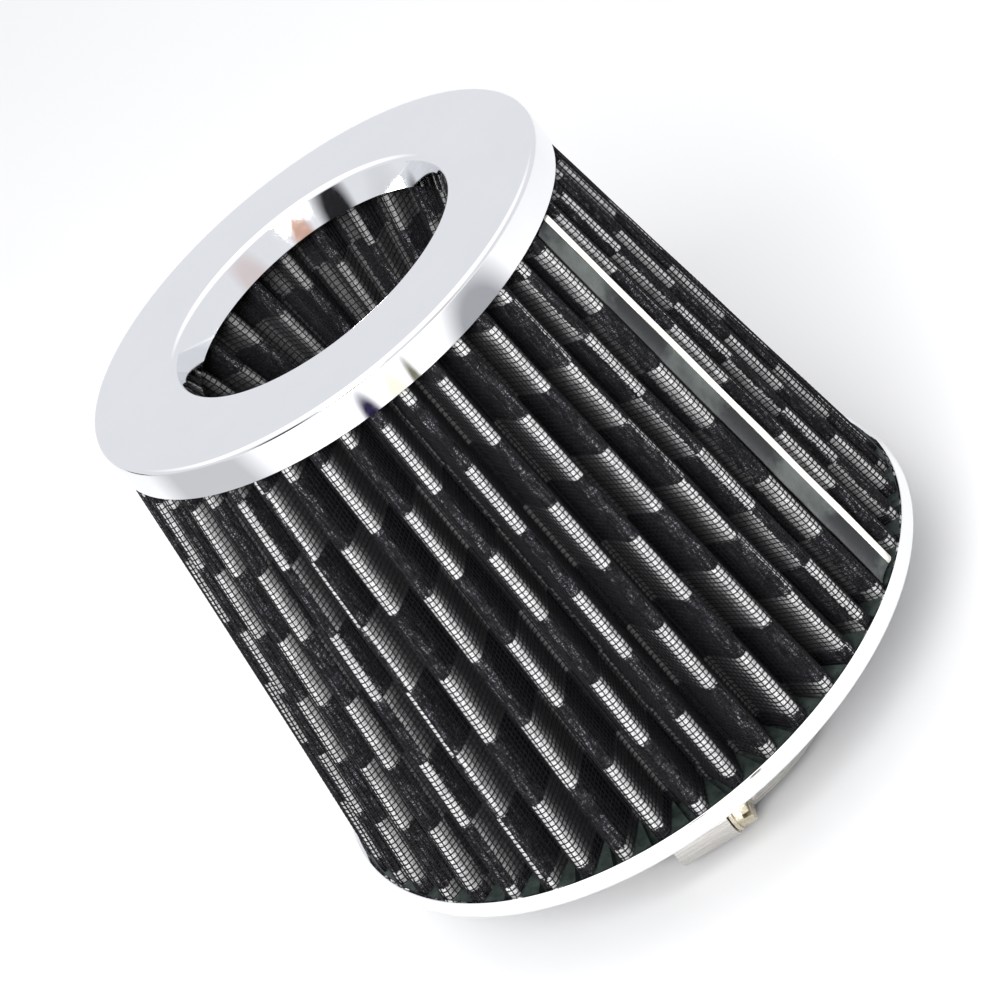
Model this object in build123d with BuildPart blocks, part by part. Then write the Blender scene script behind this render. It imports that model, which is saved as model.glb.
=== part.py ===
"""Cone air filter: a pleated outer cone, an inner reverse cone under an open chrome ring, and a clamped rubber neck.

Millimetres. The origin is the centre of the neck's mouth, and +Z runs along the filter's axis to the open ring.
Angles are degrees about +Z from +X.
"""

import math
import os

from build123d import *

os.makedirs("parts", exist_ok=True)

# ---------------------------------------------------------------- driving dimensions
SHEET = 0.8  # pressed steel of the ring, the pan and the inner cap
CONTACT = 0.03  # daylight left between curved faces that are bonded together

TOP_Z = 146.0  # flat face of the open ring
RING_OUTER_R = 56.35
RING_SKIRT_R = 56.56
RING_SKIRT_Z = 138.3
RING_CORNER_R = 0.7
HOLE_R = 34.9
LIP_END_R = 32.63
LIP_END_Z = 139.2
LIP_CORNER_R = 1.1

PAN_R = 75.15
PAN_RIM_R = 74.06
PAN_BOTTOM_Z = 25.9
PAN_RIM_Z = 29.9
PAN_CORNER_R = 0.5
RESIN_TOP_Z = 29.3  # resin in the pan
RESIN_RING_Z = 140.2  # underside of the resin in the ring
RESIN_LIP_R = 34.0
RESIN_CLEAR = 0.1  # the resin stays this far inside the flat of the ring
RESIN_SKIRT_CLEAR = 0.25
RESIN_CORNER = 0.8
RESIN_LIP_CORNER = 1.4
RESIN_CAP_CORNER = 1.3

BORE_R = 38.0
NECK_R = 41.0
NECK_FLANGE_R = 44.0
NECK_FLANGE_T = 1.8
NECK_EDGE = 0.6

MESH_T = 0.32  # woven wire screen
GAUZE_T = 0.7  # oiled cotton between its two screens
LAYER_GAP = 0.03

# Outer cone: the height and the ridge radius from the resin in the ring to the resin in the pan.
OUTER_PROFILE = ((143.2, 55.3), (138.3, 55.3), (137.4, 56.0), (30.2, 73.0), (27.4, 73.0))
OUTER_PLEATS = 48
OUTER_PITCH = 7.41
LAST_RIDGE_AZ = -46.0
SEAM_RIDGE_AZ = -39.5
OUTER_DEPTH = 0.135  # depth of a fold as a share of the ridge radius
OUTER_RIDGE_HALF = 1.5
OUTER_VALLEY_HALF = 0.7
SEAM_DROP = 0.016  # the joint's ridge is this much lower, as a share of the radius

# The joint of the pleated strip: a flat film beside a raised bead, from angle to angle and between shares of radius.
FILM_AZ = (-44.15, -40.15)
FILM_SHARE = (0.987, 0.996)
BEAD_AZ = (-40.05, -38.35)
BEAD_SHARE = (0.986, 1.0)
JOINT_PROFILE = ((137.4, 56.0), (30.4, 72.968))

# Inner cone: the height and the radius of the ridges that face the axis.
INNER_PROFILE = ((141.8, 34.6), (138.9, 34.6), (80.5, 15.9), (78.2, 15.9))
INNER_PLEATS = 24
INNER_FIRST_AZ = 2.7
INNER_DEPTH = 0.2
INNER_RIDGE_HALF = 2.1
INNER_VALLEY_HALF = 3.2
INNER_BEAD_HALF = 1.6
INNER_BEAD_SHARE = (0.975, 0.998)
INNER_BEAD_RIDGE = 17  # the ridge that carries the joint of the inner strip

CAP_R = 22.4
CAP_Z = 77.0
CAP_RIM_Z = 84.0
CAP_CORNER_R = 1.5
CAP_RESIN_Z = 80.5

CLAMP_AZ = -104.0
CLAMP_MID_Z = 8.0
BAND_W = 12.7
BAND_T = 0.65
MOVING_GAP = 0.3
CUT_SPARE = 1.0  # a cut starts and ends this far outside the piece
HOUSING_BASE_T = 0.45
TAIL_BACK = 16.0
TAIL_REACH = 48.0
TAIL_CORNER_R = 3.0
TAIL_BARE = 7.0  # degrees from the tail's end to its first slot
SLOT_PITCH = 3.2  # one turn of the worm moves the tail this far
SLOT_COUNT = 13
SLOT_W = 1.2
SLOT_L = 8.4
SLOT_TILT = 7.0
WORM_R = 4.0
WORM_CORE_R = 3.1
THREAD_W = 1.1
HOUSING_LENGTH = 14.0
HOUSING_WALL = 0.9
HOUSING_END_T = 1.2
HOUSING_FOOT_W = 15.4
FOOT_BELOW = 1.2  # the foot runs from this far below the band
FOOT_ABOVE = 1.4  # to this far above the tail
SHANK_R = 2.6
PIN_R = 1.5
PIN_PROUD = 0.6
WASHER_R = 4.9
WASHER_T = 0.9
HEX_ACROSS = 8.0
HEX_H = 4.4
DRIVE_SLOT_W = 1.2
DRIVE_SLOT_DEPTH = 1.8

# ---------------------------------------------------------------- helpers


def polar(radius, degrees):
    """A point of the plane from its radius and angle."""
    turn = math.radians(degrees)
    return (radius * math.cos(turn), radius * math.sin(turn))


def inset(points, distance):
    """A closed counter-clockwise outline moved inwards by a distance measured square to its sides."""
    moved = []
    count = len(points)
    for i in range(count):
        before, here, after = points[i - 1], points[i], points[(i + 1) % count]
        ax, ay = here[0] - before[0], here[1] - before[1]
        bx, by = after[0] - here[0], after[1] - here[1]
        a_len, b_len = math.hypot(ax, ay), math.hypot(bx, by)
        nx = -ay / a_len - by / b_len
        ny = ax / a_len + bx / b_len
        scale = 2 * distance / (nx * nx + ny * ny)
        moved.append((here[0] + nx * scale, here[1] + ny * scale))
    return moved


def scaled(points, factor):
    """An outline made larger or smaller about the axis."""
    return [(x * factor, y * factor) for x, y in points]


def folded_outline(ridges, ridge_rs, valley_r, ridge_half, valley_half):
    """The folds at ridge radius 1 as a closed outline: a flat on each ridge and valley, joined by straight sides."""
    points = []
    count = len(ridges)
    for i, ridge in enumerate(ridges):
        following = ridges[(i + 1) % count] + (360 if i + 1 == count else 0)
        valley = (ridge + following) / 2
        points.append(polar(ridge_rs[i], ridge - ridge_half))
        points.append(polar(ridge_rs[i], ridge + ridge_half))
        points.append(polar(valley_r, valley - valley_half))
        points.append(polar(valley_r, valley + valley_half))
    return points


def along_profile(outside, hole, profile):
    """A ruled solid through an outline, with or without a hole, scaled to each radius of a profile."""
    reference = profile[1][1]
    with BuildPart() as body:
        for height, radius in profile:
            with BuildSketch(Plane.XY.offset(height)):
                with BuildLine():
                    Polyline(*scaled(outside, radius / reference), close=True)
                make_face()
                if hole:
                    with BuildLine():
                        Polyline(*scaled(hole, radius / reference), close=True)
                    make_face(mode=Mode.SUBTRACT)
        loft(ruled=True)
    return body.part


def folded_prism(near, far, z_from, z_to):
    """The whole folded pack where it runs straight, as the room that it takes in the resin."""
    with BuildPart() as room:
        with BuildSketch(Plane.XY.offset(z_from)):
            with BuildLine():
                Polyline(*near, close=True)
            make_face()
            with BuildLine():
                Polyline(*far, close=True)
            make_face(mode=Mode.SUBTRACT)
        extrude(amount=z_to - z_from)
    return room.part


def pressed_sheet(middle_line, corner_radii):
    """A pressed sheet turned about Z, from the radius and height of each corner of its middle line."""
    with BuildPart() as pressed:
        with BuildSketch(Plane.XZ):
            with BuildLine() as middle:
                FilletPolyline(*middle_line, radius=corner_radii)
            trace(middle.line, line_width=SHEET)
        revolve(axis=Axis.Z)
    return pressed.part


def turned(outline):
    """A solid turned about Z from the radius and height of each corner."""
    with BuildPart() as body:
        with BuildSketch(Plane.XZ):
            with BuildLine():
                Polyline(*outline, close=True)
            make_face()
        revolve(axis=Axis.Z)
    return body.part


def save(piece, name):
    """Label a finished piece and write it as its own file."""
    piece.label = name
    export_step(piece, f"parts/{name}.step")


# ---------------------------------------------------------------- chrome ring, pan and inner cap

half = SHEET / 2
save(
    pressed_sheet(
        [
            (LIP_END_R + half, LIP_END_Z),
            (HOLE_R + half, TOP_Z - half),
            (RING_OUTER_R - half, TOP_Z - half),
            (RING_SKIRT_R - half, RING_SKIRT_Z),
        ],
        [LIP_CORNER_R, RING_CORNER_R],
    ),
    "top_ring",
)
save(
    pressed_sheet(
        [
            (NECK_R + CONTACT, PAN_BOTTOM_Z + half),
            (PAN_R - half, PAN_BOTTOM_Z + half),
            (PAN_RIM_R - half, PAN_RIM_Z),
        ],
        [PAN_CORNER_R],
    ),
    "base_pan",
)
with BuildPart() as inner_cap:
    with BuildSketch(Plane.XZ):
        with BuildLine() as cap_line:
            FilletPolyline(
                (0, CAP_Z + half),
                (CAP_R - half, CAP_Z + half),
                (CAP_R - half, CAP_RIM_Z),
                radius=CAP_CORNER_R,
            )
        trace(cap_line.line, line_width=SHEET)
        split(bisect_by=Plane.YZ, keep=Keep.TOP)
    revolve(axis=Axis.Z)
save(inner_cap.part, "inner_cone_cap")

# ---------------------------------------------------------------- rubber neck

neck_top_z = PAN_BOTTOM_Z + SHEET + CONTACT + NECK_FLANGE_T
with BuildPart() as neck:
    with BuildSketch(Plane.XZ):
        with BuildLine():
            Polyline(
                (BORE_R, 0),
                (NECK_R - NECK_EDGE, 0),
                (NECK_R, NECK_EDGE),
                (NECK_R, neck_top_z - NECK_FLANGE_T),
                (NECK_FLANGE_R, neck_top_z - NECK_FLANGE_T),
                (NECK_FLANGE_R, neck_top_z),
                (BORE_R, neck_top_z),
                close=True,
            )
        make_face()
    revolve(axis=Axis.Z)
save(neck.part, "neck")

# ---------------------------------------------------------------- outer folded cone

first_ridge = LAST_RIDGE_AZ - OUTER_PITCH * (OUTER_PLEATS - 1)
outer_ridges = [first_ridge + OUTER_PITCH * k for k in range(OUTER_PLEATS)] + [SEAM_RIDGE_AZ]
outer_rs = [1.0] * OUTER_PLEATS + [1.0 - SEAM_DROP]
outer_outline = scaled(
    folded_outline(
        outer_ridges, outer_rs, 1.0 - OUTER_DEPTH, OUTER_RIDGE_HALF, OUTER_VALLEY_HALF
    ),
    OUTER_PROFILE[1][1],
)
layer_depths = {
    "mesh": (0.0, MESH_T),
    "media": (MESH_T + LAYER_GAP, MESH_T + LAYER_GAP + GAUZE_T),
    "backing_mesh": (MESH_T + GAUZE_T + 2 * LAYER_GAP, 2 * MESH_T + GAUZE_T + 2 * LAYER_GAP),
}
pack_depth = 2 * MESH_T + GAUZE_T + 2 * LAYER_GAP
for layer, (near, far) in layer_depths.items():
    save(
        along_profile(inset(outer_outline, near), inset(outer_outline, far), OUTER_PROFILE),
        f"outer_{layer}",
    )


def joint_outline(from_az, to_az, shares, profile):
    """A four-sided strip between two angles and two shares of the ridge radius."""
    low, high = (share * profile[1][1] for share in shares)
    return [polar(low, from_az), polar(high, from_az), polar(high, to_az), polar(low, to_az)]


film_outline = joint_outline(*FILM_AZ, FILM_SHARE, JOINT_PROFILE)
save(along_profile(film_outline, None, JOINT_PROFILE), "seam_film")
bead_outline = joint_outline(*BEAD_AZ, BEAD_SHARE, JOINT_PROFILE)
save(along_profile(bead_outline, None, JOINT_PROFILE), "seam_bead")

# ---------------------------------------------------------------- inner folded cone

inner_pitch = 360 / INNER_PLEATS
inner_ridges = [INNER_FIRST_AZ + inner_pitch * k for k in range(INNER_PLEATS)]
inner_outline = scaled(
    folded_outline(
        inner_ridges,
        [1.0] * INNER_PLEATS,
        1.0 + INNER_DEPTH,
        INNER_RIDGE_HALF,
        INNER_VALLEY_HALF,
    ),
    INNER_PROFILE[1][1],
)
for layer, (near, far) in layer_depths.items():
    save(
        along_profile(inset(inner_outline, -far), inset(inner_outline, -near), INNER_PROFILE),
        f"inner_cone_{layer}",
    )

bead_az = inner_ridges[INNER_BEAD_RIDGE]
inner_bead_profile = INNER_PROFILE[1:3]
inner_bead_outline = joint_outline(
    bead_az - INNER_BEAD_HALF, bead_az + INNER_BEAD_HALF, INNER_BEAD_SHARE, inner_bead_profile
)
save(along_profile(inner_bead_outline, None, inner_bead_profile), "inner_cone_seam_bead")

# ---------------------------------------------------------------- cast resin round the ends of the folds

ring_wall_r = RING_OUTER_R - SHEET - RESIN_CLEAR
ring_lip_r = HOLE_R + SHEET - RESIN_CLEAR
ring_roof_z = TOP_Z - SHEET - RESIN_CLEAR
ring_resin = turned(
    [
        (RESIN_LIP_R, RESIN_RING_Z),
        (RING_SKIRT_R - SHEET - RESIN_SKIRT_CLEAR, RESIN_RING_Z),
        (ring_wall_r, ring_roof_z - RESIN_CORNER),
        (ring_wall_r - RESIN_CORNER, ring_roof_z),
        (ring_lip_r + RESIN_LIP_CORNER, ring_roof_z),
        (ring_lip_r, ring_roof_z - RESIN_LIP_CORNER),
    ]
)
outer_pack_top = (RESIN_RING_Z, OUTER_PROFILE[0][0])
inner_pack_top = (RESIN_RING_Z, INNER_PROFILE[0][0])
outer_room = folded_prism(outer_outline, inset(outer_outline, pack_depth), *outer_pack_top)
inner_room = folded_prism(inset(inner_outline, -pack_depth), inner_outline, *inner_pack_top)
save(ring_resin - outer_room - inner_room, "ring_resin")

pan_share = OUTER_PROFILE[-1][1] / OUTER_PROFILE[1][1]
pan_near = scaled(outer_outline, pan_share)
pan_far = scaled(inset(outer_outline, pack_depth), pan_share)
pan_floor_z = PAN_BOTTOM_Z + SHEET + CONTACT
pan_wall_r = PAN_R - SHEET - RESIN_CORNER
pan_resin = turned(
    [
        (NECK_FLANGE_R + CONTACT, pan_floor_z),
        (pan_wall_r - RESIN_SKIRT_CLEAR, pan_floor_z),
        (pan_wall_r, pan_floor_z + RESIN_CORNER),
        (PAN_RIM_R - SHEET, RESIN_TOP_Z),
        (NECK_FLANGE_R + CONTACT, RESIN_TOP_Z),
    ]
)
save(
    pan_resin - folded_prism(pan_near, pan_far, OUTER_PROFILE[-1][0], RESIN_TOP_Z),
    "pan_resin",
)

cap_share = INNER_PROFILE[-1][1] / INNER_PROFILE[1][1]
cap_near = scaled(inset(inner_outline, -pack_depth), cap_share)
cap_far = scaled(inner_outline, cap_share)
cap_floor_z = CAP_Z + SHEET + CONTACT
cap_wall_r = CAP_R - SHEET - CONTACT
cap_resin = turned(
    [
        (0, cap_floor_z),
        (cap_wall_r - RESIN_CAP_CORNER, cap_floor_z),
        (cap_wall_r, cap_floor_z + RESIN_CAP_CORNER),
        (cap_wall_r, CAP_RESIN_Z),
        (0, CAP_RESIN_Z),
    ]
)
save(
    cap_resin - folded_prism(cap_near, cap_far, INNER_PROFILE[-1][0], INNER_PROFILE[2][0]),
    "inner_cone_cap_resin",
)

# ---------------------------------------------------------------- worm-drive clamp

band_inner_r = NECK_R + MOVING_GAP
band_outer_r = band_inner_r + BAND_T
base_outer_r = band_outer_r + CONTACT + HOUSING_BASE_T
tail_inner_r = base_outer_r + MOVING_GAP
tail_outer_r = tail_inner_r + BAND_T
worm_axis_r = tail_outer_r + MOVING_GAP + WORM_R
band_low_z = CLAMP_MID_Z - BAND_W / 2

with BuildPart() as clamp_band:
    with BuildSketch(Plane.XY.offset(band_low_z)):
        Circle(band_outer_r)
        Circle(band_inner_r, mode=Mode.SUBTRACT)
    extrude(amount=BAND_W)
save(clamp_band.part, "clamp_band")


def tail_plane(degrees):
    """A plane square to the radius at an angle, whose x runs round the neck and y down the axis."""
    out = Vector(*polar(1, degrees), 0)
    return Plane(origin=Vector(0, 0, CLAMP_MID_Z), x_dir=Vector(0, 0, 1).cross(out), z_dir=out)


with BuildPart() as clamp_tail:
    with BuildSketch(Plane.XY.offset(band_low_z)):
        with BuildLine():
            CenterArc((0, 0), tail_outer_r, CLAMP_AZ - TAIL_BACK, TAIL_BACK + TAIL_REACH)
            CenterArc((0, 0), tail_inner_r, CLAMP_AZ - TAIL_BACK, TAIL_BACK + TAIL_REACH)
            Line(
                polar(tail_inner_r, CLAMP_AZ - TAIL_BACK),
                polar(tail_outer_r, CLAMP_AZ - TAIL_BACK),
            )
            Line(
                polar(tail_inner_r, CLAMP_AZ + TAIL_REACH),
                polar(tail_outer_r, CLAMP_AZ + TAIL_REACH),
            )
        make_face()
    extrude(amount=BAND_W)
    end_edges = clamp_tail.edges().filter_by(GeomType.LINE).filter_by(Axis.Z, reverse=True)
    fillet(end_edges, radius=TAIL_CORNER_R)
    for i in range(SLOT_COUNT):
        slot_az = CLAMP_AZ + TAIL_REACH - TAIL_BARE - math.degrees(SLOT_PITCH / tail_outer_r) * i
        with BuildSketch(tail_plane(slot_az).offset(tail_inner_r - CUT_SPARE)):
            SlotOverall(SLOT_L, SLOT_W, rotation=90 + SLOT_TILT)
        extrude(amount=BAND_T + 2 * CUT_SPARE, mode=Mode.SUBTRACT)
save(clamp_tail.part, "clamp_tail")

out_dir = Vector(*polar(1, CLAMP_AZ), 0)
head_dir = Vector(0, 0, 1).cross(out_dir)
worm_centre = out_dir * worm_axis_r + Vector(0, 0, CLAMP_MID_Z)
worm_plane = Plane(origin=worm_centre, x_dir=out_dir, z_dir=head_dir)
bore_r = WORM_R + MOVING_GAP
shell_r = bore_r + HOUSING_WALL
half_length = HOUSING_LENGTH / 2
foot_low = band_inner_r - FOOT_BELOW - worm_axis_r
foot_high = tail_outer_r + FOOT_ABOVE - worm_axis_r

with BuildPart() as clamp_housing:
    with BuildSketch(worm_plane.offset(-half_length)):
        Circle(shell_r)
        with Locations(((foot_low + foot_high) / 2, 0)):
            Rectangle(foot_high - foot_low, HOUSING_FOOT_W)
        with Locations((foot_high / 2, 0)):
            Rectangle(-foot_high, 2 * shell_r)
    extrude(amount=HOUSING_LENGTH)
    with BuildSketch(Plane.XY.offset(CLAMP_MID_Z - HOUSING_FOOT_W)):
        Circle(band_outer_r + CONTACT)
    extrude(amount=2 * HOUSING_FOOT_W, mode=Mode.SUBTRACT)
    with BuildSketch(Plane.XY.offset(band_low_z - MOVING_GAP)):
        Circle(tail_outer_r + MOVING_GAP)
        Circle(base_outer_r, mode=Mode.SUBTRACT)
    extrude(amount=BAND_W + 2 * MOVING_GAP, mode=Mode.SUBTRACT)
    with BuildSketch(worm_plane.offset(HOUSING_END_T - half_length)):
        Circle(bore_r)
        with Locations(((tail_outer_r - worm_axis_r) / 2, 0)):
            Rectangle(worm_axis_r - tail_outer_r, 2 * bore_r)
    extrude(amount=HOUSING_LENGTH - 2 * HOUSING_END_T, mode=Mode.SUBTRACT)
    with BuildSketch(worm_plane.offset(half_length - HOUSING_END_T - CUT_SPARE)):
        Circle(SHANK_R + MOVING_GAP)
    extrude(amount=HOUSING_END_T + 2 * CUT_SPARE, mode=Mode.SUBTRACT)
    with BuildSketch(worm_plane.offset(-half_length - CUT_SPARE)):
        Circle(PIN_R + MOVING_GAP)
    extrude(amount=HOUSING_END_T + 2 * CUT_SPARE, mode=Mode.SUBTRACT)
save(clamp_housing.part, "clamp_housing")

worm_half = half_length - HOUSING_END_T - MOVING_GAP
head_low = half_length + MOVING_GAP
with BuildPart() as clamp_screw:
    with BuildSketch(worm_plane.offset(-half_length - PIN_PROUD)):
        Circle(PIN_R)
    extrude(amount=half_length)
    with BuildSketch(worm_plane.offset(-worm_half)):
        Circle(WORM_CORE_R)
    extrude(amount=2 * worm_half)
    ring_count = int(2 * worm_half / SLOT_PITCH)
    for i in range(ring_count):
        ring_at = (i - (ring_count - 1) / 2) * SLOT_PITCH - THREAD_W / 2
        with BuildSketch(worm_plane.offset(ring_at)):
            Circle(WORM_R)
        extrude(amount=THREAD_W)
    with BuildSketch(worm_plane):
        Circle(SHANK_R)
    extrude(amount=head_low + WASHER_T / 2)
    with BuildSketch(worm_plane.offset(head_low)):
        Circle(WASHER_R)
    extrude(amount=WASHER_T)
    with BuildSketch(worm_plane.offset(head_low)):
        RegularPolygon(HEX_ACROSS / 2, 6, major_radius=False)
    extrude(amount=HEX_H)
    with BuildSketch(worm_plane.offset(head_low + HEX_H - DRIVE_SLOT_DEPTH)):
        Rectangle(2 * HEX_ACROSS, DRIVE_SLOT_W)
    extrude(amount=DRIVE_SLOT_DEPTH, mode=Mode.SUBTRACT)
save(clamp_screw.part, "clamp_screw")
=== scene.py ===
import math

import bmesh
import bpy
import numpy as np
from mathutils import Matrix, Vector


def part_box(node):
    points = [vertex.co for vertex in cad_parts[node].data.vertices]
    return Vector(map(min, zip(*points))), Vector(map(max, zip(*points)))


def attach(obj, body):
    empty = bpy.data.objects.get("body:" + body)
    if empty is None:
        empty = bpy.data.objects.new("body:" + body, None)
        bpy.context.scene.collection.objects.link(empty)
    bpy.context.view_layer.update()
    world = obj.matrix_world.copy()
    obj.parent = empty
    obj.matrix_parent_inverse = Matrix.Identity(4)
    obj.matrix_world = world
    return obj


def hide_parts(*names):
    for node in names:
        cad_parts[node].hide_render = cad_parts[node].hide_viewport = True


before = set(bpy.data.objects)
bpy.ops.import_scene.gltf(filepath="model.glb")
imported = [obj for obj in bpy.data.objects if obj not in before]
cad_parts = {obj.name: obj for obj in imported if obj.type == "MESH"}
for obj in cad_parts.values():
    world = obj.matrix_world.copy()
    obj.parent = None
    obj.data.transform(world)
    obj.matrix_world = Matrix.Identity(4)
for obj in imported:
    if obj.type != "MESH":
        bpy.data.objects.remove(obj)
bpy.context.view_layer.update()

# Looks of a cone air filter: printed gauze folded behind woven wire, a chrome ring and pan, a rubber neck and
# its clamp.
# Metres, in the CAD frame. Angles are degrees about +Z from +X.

MM = 0.001
SEED = 7
SHEET = 0.8 * MM

# ---------------------------------------------------------------- sizes

TOP_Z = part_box("top_ring")[1].z
RING_LOW_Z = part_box("top_ring")[0].z
RING_SKIRT_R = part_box("top_ring")[1].x
RING_OUTER_R = RING_SKIRT_R - 0.21 * MM  # the skirt's draft
HOLE_R = 34.9 * MM
LIP_END_R = 32.63 * MM
LIP_END_Z = TOP_Z - 6.8 * MM
LIP_CORNER_R = 1.1 * MM
RING_CORNER_R = 0.7 * MM

PAN_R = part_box("base_pan")[1].x
PAN_BOTTOM_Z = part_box("base_pan")[0].z
PAN_TOP_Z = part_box("base_pan")[1].z
PAN_RIM_R = PAN_R - 0.95 * MM
PAN_CORNER_R = 0.5 * MM

CAP_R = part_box("inner_cone_cap")[1].x
CAP_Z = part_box("inner_cone_cap")[0].z
CAP_RIM_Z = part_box("inner_cone_cap")[1].z
CAP_CORNER_R = 1.5 * MM

BORE_R = 38.0 * MM
NECK_R = 41.0 * MM
NECK_TOP_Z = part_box("neck")[1].z
NECK_FLANGE_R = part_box("neck")[1].x
NECK_FLANGE_T = 1.8 * MM
NECK_EASE = 0.5 * MM
NECK_INNER_CORNER_R = 0.05 * MM
NECK_REACH = 4 * MM  # how far the rounded stretches run along the bore and the outside
BAND_T = 0.65 * MM
BAND_EASE = 0.2 * MM
SKIRT_CLEAR = 0.01 * MM
PAN_NECK_GAP = 0.03 * MM
PAN_RIM_CLEAR = 0.12 * MM
CAP_CENTRE_R = 0.05 * MM
FINE_SEGMENTS = 512  # round the large chrome pieces
HOUSING_BEVEL = 0.18 * MM
TAIL_BEVEL = 0.1 * MM
SCREW_BEVEL = 0.16 * MM

WIRE_R = 0.125 * MM
WIRE_DEPTH = 0.16 * MM
WIRE_PITCH = 1.2 * MM
GAUZE_NEAR = 0.3 * MM
GAUZE_FAR = 1.03 * MM
BACK_WIRE_DEPTH = 1.22 * MM
BACK_WIRE_PITCH = 2.4 * MM
ROUNDS = 2  # rounds of corner cutting on a folded outline
SHOULDER = 0.3  # a fold's rounding reaches this share of the way down its sides
STRAIGHT_BEND = 0.01  # points of a rounded outline that bend less than this are left out
SWAY = 0.16  # spread of each fold's drift from side to side, in degrees
SWELL = 0.0035  # spread of each fold's growth, as a share of its radius
FINE_WAVE = 0.4  # share of sway and swell in the shorter waves down a fold
# Degrees that the outer folds lean by on their way down, at the rest of the cone, and what the front adds.
# The front's middle is at minus "centre", and it fades out at "reach" from there.
LEAN = {"rest": -0.65, "front": 1.8, "centre": 97, "reach": 42, "power": 8}
SCREEN_END = 1.2 * MM  # the screens stop this far inside the gauze's ends
BAR_LEVELS = 12
WIRE_SIDE = 0.87  # half a side of a three-sided wire as a share of its radius

OUTER = {
    "heights": np.array([143.0, 138.3, 137.4, 30.2, 27.6]) * MM,
    "radii": np.array([55.3, 55.3, 56.0, 73.0, 73.0]) * MM,
    "pleats": 48,
    "pitch": 7.41,
    "last": -46.0,
    "extra": [-39.5],
    "drop": 0.016,
    "valley": 1 - 0.135,
    "ridge_half": 1.3,
    "valley_half": 0.5,
    "side": 1,
    "print_top": 134.6 * MM,
    "print_step": 17.1 * MM,
}
INNER = {
    "heights": np.array([141.6, 138.9, 80.5, 78.4]) * MM,
    "radii": np.array([34.6, 34.6, 15.9, 15.9]) * MM,
    "pleats": 24,
    "pitch": 15.0,
    "last": 2.7 + 15.0 * 23,
    "extra": [],
    "drop": 0.0,
    "valley": 1.2,
    "ridge_half": 2.1,
    "valley_half": 3.2,
    "side": -1,
    "print_top": 129.8 * MM,
    "print_step": 16.5 * MM,
}
PRINT_COLUMN = 0.9  # a printed column as a share of the gauze in one fold
PRINT_START = 0.05
PRINT_RIDGE = 35  # the ridge that the columns are counted from
BACK_FOLDS = (6, 27)  # the columns shift by one over these folds, round the back
INNER_SHIFT = (3.87, 17.0)  # folds between the two joints of the inner strip

FILM_AZ = (-44.7, -40.2)
FILM_SHARE = 0.9955
FILM_DIP, FILM_T = 0.006, 0.004
BEAD_AZ = (-38.9, -39.9)  # the bead's middle at the ring and at the pan
BEAD_HALF = 0.85
BEAD_SHARE = (0.985, 1.0)
BEAD_WANDER, BEAD_WANDER_WAVES = 0.05, 23  # degrees from side to side, and radians of it down the cone
BEAD_PULSE, BEAD_PULSE_WAVES = 0.06, 31  # share of its width
INNER_BEAD_HALF = 1.6
INNER_BEAD_SHARE = (0.973, 0.998)
INNER_BEAD_RIDGE = 6  # ridges back from the last
STRIP_END = 0.2 * MM

# ---------------------------------------------------------------- meshes


def add_object(name, mesh, material, body, replaces=()):
    """Link a finished mesh as a piece that rides on a body."""
    piece = bpy.data.objects.new(name, mesh)
    bpy.context.scene.collection.objects.link(piece)
    mesh.materials.append(material)
    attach(piece, body)
    if replaces:
        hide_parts(*replaces)
    return piece


def mesh_from(name, points, faces, uvs=None, sharp_degrees=35):
    """A smooth-shaded mesh from arrays of points, four-sided faces and the corners' UVs."""
    mesh = bpy.data.meshes.new(name)
    mesh.vertices.add(len(points))
    mesh.vertices.foreach_set("co", np.ascontiguousarray(points, np.float32).ravel())
    mesh.loops.add(faces.size)
    mesh.loops.foreach_set("vertex_index", np.ascontiguousarray(faces, np.int32).ravel())
    mesh.polygons.add(len(faces))
    mesh.polygons.foreach_set("loop_start", np.arange(len(faces), dtype=np.int32) * faces.shape[1])
    mesh.update(calc_edges=True)
    mesh.polygons.foreach_set("use_smooth", np.ones(len(faces), bool))
    if uvs is not None:
        layer = mesh.uv_layers.new(name="Print")
        layer.data.foreach_set("uv", np.ascontiguousarray(uvs, np.float32).ravel())
    mesh.set_sharp_from_angle(angle=math.radians(sharp_degrees))
    mesh.validate()
    return mesh


def grid_faces(rows, columns, wrap_rows, wrap_columns):
    """The corners of each cell of a grid, and each corner's row and column before wrapping."""
    i, j = np.meshgrid(
        np.arange(rows if wrap_rows else rows - 1),
        np.arange(columns if wrap_columns else columns - 1),
        indexing="ij",
    )
    i, j = i.ravel(), j.ravel()
    corner_rows = np.stack([i, i + 1, i + 1, i], 1)
    corner_columns = np.stack([j, j, j + 1, j + 1], 1)
    faces = (corner_rows % rows) * columns + corner_columns % columns
    return faces, corner_rows, corner_columns


def lathe(name, outline, segments=360):
    """A closed outline of radius and height turned about Z."""
    outline = np.array(outline)
    turn = np.linspace(0, 2 * math.pi, segments, endpoint=False)
    points = np.stack(
        [
            np.outer(outline[:, 0], np.cos(turn)),
            np.outer(outline[:, 0], np.sin(turn)),
            np.repeat(outline[:, 1:2], segments, axis=1),
        ],
        axis=-1,
    )
    faces, _, _ = grid_faces(len(outline), segments, True, True)
    return mesh_from(name, points.reshape(-1, 3), faces)


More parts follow.
